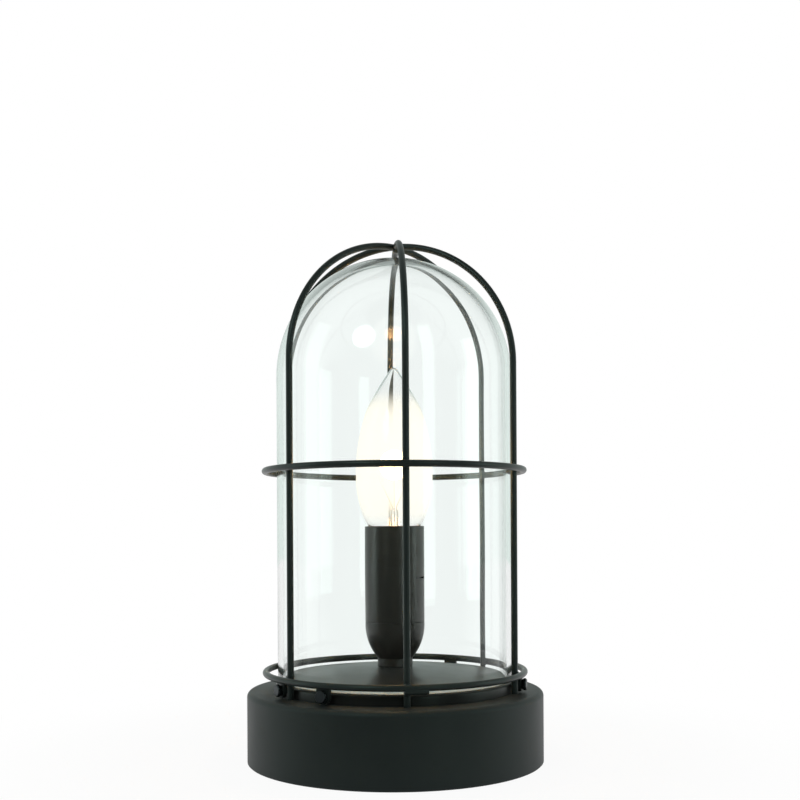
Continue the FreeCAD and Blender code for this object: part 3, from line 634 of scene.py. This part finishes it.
# Glass dome
# One blown cylinder closed by half a ball, of clear soda glass. Its rounded rim is ground matt
# and looks white. Its inner wall is a little uneven, most of all under the crown, as blown
# glass is.
low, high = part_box("glass_dome")
dome_r = high.x
dome_t = 2.4 * mm
dome_top = high.z
dome_rim = low.z
dome_columns = 256
spring_z = dome_top - dome_r
round_r = dome_t / 2
rim_mid = (dome_r - round_r, dome_rim + round_r)
straight = np.linspace(dome_rim + dome_t, spring_z, 40)[1:-1]
outer_wall = np.stack([np.full(len(straight), dome_r), straight], 1)
inner_wall = np.stack([np.full(len(straight), dome_r - dome_t), straight[::-1]], 1)
dome_profile = outline(arc(rim_mid, round_r, -90, 0, 8), outer_wall,
                       arc((0, spring_z), dome_r, 0, 90, 48),
                       arc((0, spring_z), dome_r - dome_t, 90, 0, 48), inner_wall,
                       arc(rim_mid, round_r, 180, 270, 8)[:-1])
dome_grid = turned(dome_profile, dome_columns)


def bend_inner_wall(grid):
    """Moves the inner wall by slow waves. On the cylinder a point goes in or out by up to
    0.06 mm, by sines of its angle and its height, and less near both ends. Under the crown it
    goes up or down by up to 0.26 mm: sines of its angle and its radius, times its height and
    its radius as shares of the ball's."""
    t = np.linspace(0, 2 * np.pi, dome_columns, endpoint=False)
    z = grid[..., 2]
    radius = np.maximum(np.hypot(grid[..., 0], grid[..., 1]), 1e-9)
    within = dome_r - 0.9 * dome_t
    calm_z = dome_rim + 8 * mm
    ramp = 20 * mm
    wave = 0.04 * mm * np.sin(3 * t + 40 * z) * np.sin(75 * z + 1.3)
    wave = wave + 0.02 * mm * np.sin(5 * t - 90 * z)
    swing = np.where((radius < within) & (z > calm_z) & (z < spring_z), wave, 0)
    swing *= np.clip((z - calm_z) / ramp, 0, 1) * np.clip((spring_z - z) / ramp, 0, 1)
    share = np.clip((z - spring_z) / dome_r, 0, 1)
    swirl = np.sin(2 * t + 1.0) + 0.7 * np.sin(3 * t + 130 * radius)
    sag = 0.3 * mm * share * radius / dome_r * swirl
    under = np.hypot(radius, z - spring_z) < within
    grid[..., 0] *= 1 + swing / radius
    grid[..., 1] *= 1 + swing / radius
    grid[..., 2] -= np.where(under, sag, 0)


bend_inner_wall(dome_grid)
dome = piece_from_grid("glass_dome_blown", dome_grid, body="glass", sharp=60)
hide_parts("glass_dome")
dress([dome], clear_glass("clear_soda_glass", "#fcfffe", 1.36))
ground, tree, place = bare_material("ground_glass_rim")
pits = node(tree, "TexNoise", [("Vector", place), ("Scale", 1 / (0.2 * mm)), ("Detail", 2.0)])
relief = node(tree, "Bump", [("Strength", 0.2), ("Distance", 0.02 * mm),
                             ("Height", pits.outputs[0])])
chips = node(tree, "TexNoise", [("Vector", place), ("Scale", 1 / (3 * mm)), ("Detail", 3.0)])
tones = node(tree, "Mix", [(0, chips.outputs[0]), (6, colour("#f4fbff")), (7, colour("#e0eff6"))],
             data_type="RGBA")
outer = node(tree, "BsdfDiffuse", [("Color", tones.outputs[2]), ("Normal", relief.outputs[0])])
through = node(tree, "BsdfTranslucent", [("Color", tones.outputs[2]),
                                         ("Normal", relief.outputs[0])])
matt = node(tree, "MixShader", [(0, 0.45), (1, outer.outputs[0]), (2, through.outputs[0])])
node(tree, "OutputMaterial", [("Surface", matt.outputs[0])])
dome.data.materials.append(ground)
centres = np.empty((len(dome.data.polygons), 3), np.float32)
dome.data.polygons.foreach_get("center", centres.ravel())
is_ground = (centres[:, 2] < dome_rim + round_r).astype(np.int32)
dome.data.polygons.foreach_set("material_index", is_ground)


# Cage
# Three hoops of 3 mm steel wire cross over the dome and are welded at the crown, and two
# rings, the lower with a lapped end, are welded round their posts. The whole cage is coated in
# satin black.
wire_r = 1.5 * mm
cage_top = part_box("hoop_front")[1].z
top_drop = 1.0 * mm
post_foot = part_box("hoop_front")[0].z
glass_gap = 1.3 * mm
weld_bite = 0.2 * mm
post_r = dome_r + glass_gap + wire_r
ring_r = post_r + 2 * wire_r - weld_bite
posts = {"hoop_front": (4.9, 181.9), "hoop_right": (69.4, 249.4), "hoop_left": (127.3, 307.3)}
up = np.array([0, 0, 1])


def outward(azimuth):
    """The level unit vector at an azimuth: (sin t, -cos t, 0)."""
    t = np.radians(azimuth)
    return np.array([np.sin(t), -np.cos(t), 0])


def hoop(azimuths):
    """A hoop in an upright plane: a post, half a circle between the posts, and a post. All
    three cross at one height, 1 mm under the top of the CAD's front hoop, which is nearer to
    the photograph's."""
    first, last = (post_r * outward(azimuth) for azimuth in azimuths)
    middle, arm = (first + last) / 2, (first - last) / 2
    reach = np.linalg.norm(arm)
    spring = cage_top - wire_r - top_drop - reach
    a = np.radians(np.linspace(0, 180, 97))
    heights = np.linspace(post_foot + 1 * mm, spring - 1 * mm, 24)
    flat = outline((reach, post_foot), np.stack([np.full(24, reach), heights], 1),
                   np.stack([reach * np.cos(a), spring + reach * np.sin(a)], 1),
                   np.stack([np.full(24, -reach), heights[::-1]], 1), (-reach, post_foot))
    path = middle + flat[:, :1] * arm / reach + flat[:, 1:] * up
    return drawn_wire(path, wire_r, np.cross((0, 0, 1), arm), 24)


def ring_wire(t, height, closed=False):
    """A wire that runs round the posts at a height: its centre line is (r sin t, -r cos t, z)."""
    path = np.stack([ring_r * np.sin(t), -ring_r * np.cos(t), height + 0 * t], 1)
    return drawn_wire(path, wire_r, (0, 0, 1), 24, closed=closed)


def weld_bead(middle, along, out, halves):
    """A round lump of weld: middle + a sin u cos v along + b sin u sin v out + c cos u up."""
    u = np.linspace(0, np.pi, 13)[:, None, None]
    v = np.linspace(0, 2 * np.pi, 20, endpoint=False)[None, :, None]
    a, b, c = halves
    level_part = a * np.sin(u) * np.cos(v) * along + b * np.sin(u) * np.sin(v) * out
    return middle + level_part + c * np.cos(u) * up


cage = []
for name, azimuths in posts.items():
    wire = piece_from_grid(name + "_wire", hoop(azimuths), wrap=False, body="cage",
                           sharp=50)
    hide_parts(name)
    cage.append(wire)
all_round = np.linspace(0, 2 * np.pi, 240, endpoint=False)
bead_halves = (2.0 * mm, 0.75 * mm, 1.9 * mm)
bead_r = post_r + wire_r - 0.1 * mm
for name in ("mid_ring", "bottom_ring"):
    low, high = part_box(name)
    ring_z = high.z - wire_r
    wire = piece_from_grid(name + "_wire", ring_wire(all_round, ring_z, closed=True),
                           body="cage")
    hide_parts(name)
    cage.append(wire)
    for i, azimuth in enumerate(sorted(sum(posts.values(), ()))):
        out = outward(azimuth)
        bead = weld_bead(bead_r * out + ring_z * up, outward(azimuth + 90), out, bead_halves)
        cage.append(piece_from_grid("%s_weld_%d" % (name, i + 1), bead, wrap=False, body="cage"))
lump_middle = np.array([1.6 * mm, 0.3 * mm, cage_top - 3.6 * mm])
lump = weld_bead(lump_middle, np.array([1, 0, 0]), np.array([0, 1, 0]),
                 (2.0 * mm, 2.3 * mm, 1.7 * mm))
cage.append(piece_from_grid("crown_weld", lump, wrap=False, body="cage"))
lap_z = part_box("bottom_ring")[0].z + wire_r
lap_from, lap_to = 3.7, 13.2
lap = ring_wire(np.radians(np.linspace(lap_from, lap_to, 16)), lap_z)
cage.append(piece_from_grid("ring_lap", lap, wrap=False, body="cage",
                            sharp=50))
cage += as_packed("clamp_tabs")
dress(cage, powder_coat("satin_black_wire_coat", "#242828", "#2b2f2e", 0.34))


# Thumbscrews
# Four small screws clamp the cage's tabs to the gallery. They are of blackened steel, which
# stays dark and shines softly.
dress(as_packed("clamp_screw_front", "clamp_screw_right", "clamp_screw_rear",
                "clamp_screw_left"),
      metal("blackened_steel", "#4b5052", "#2f3335", 0.40))
